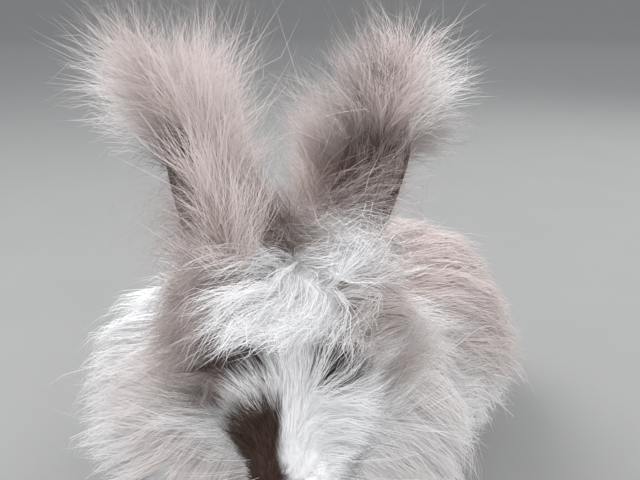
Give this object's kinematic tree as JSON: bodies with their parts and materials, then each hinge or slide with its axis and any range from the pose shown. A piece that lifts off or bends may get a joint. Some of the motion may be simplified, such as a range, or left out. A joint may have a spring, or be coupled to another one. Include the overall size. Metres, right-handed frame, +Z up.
{
  "type": "angora rabbit",
  "caption": "Life-size sitting angora rabbit, ears up with tufted tips, head turned a little aside, long wool in bent, tapered locks over body, cheeks, brow and ears.",
  "frame": {"origin": "on the floor, at the middle of the model's box seen from above", "axes": "+Z up, +Y along the body towards the tail, so the nose points to -Y and the rabbit's left is +X"},
  "size_m": [0.2888, 0.4036, 0.3316],
  "materials": {
    "fawn_wool": "soft matt wool",
    "white_wool": "soft matt wool",
    "face_fur": "short dense fur",
    "eye": "wet gloss",
    "claw": "horn",
    "nose": "matt skin"
  },
  "bodies": {
    "root": {"head": "face_fur", "neck": "white_wool", "torso": "fawn_wool", "tail": "white_wool", "ear_left": "fawn_wool", "ear_right": "fawn_wool", "eye_left": "eye", "eye_right": "eye", "foreleg_left": "white_wool", "foreleg_right": "white_wool", "hindleg_left": "white_wool", "hindleg_right": "white_wool"}
  },
  "joints": []
}
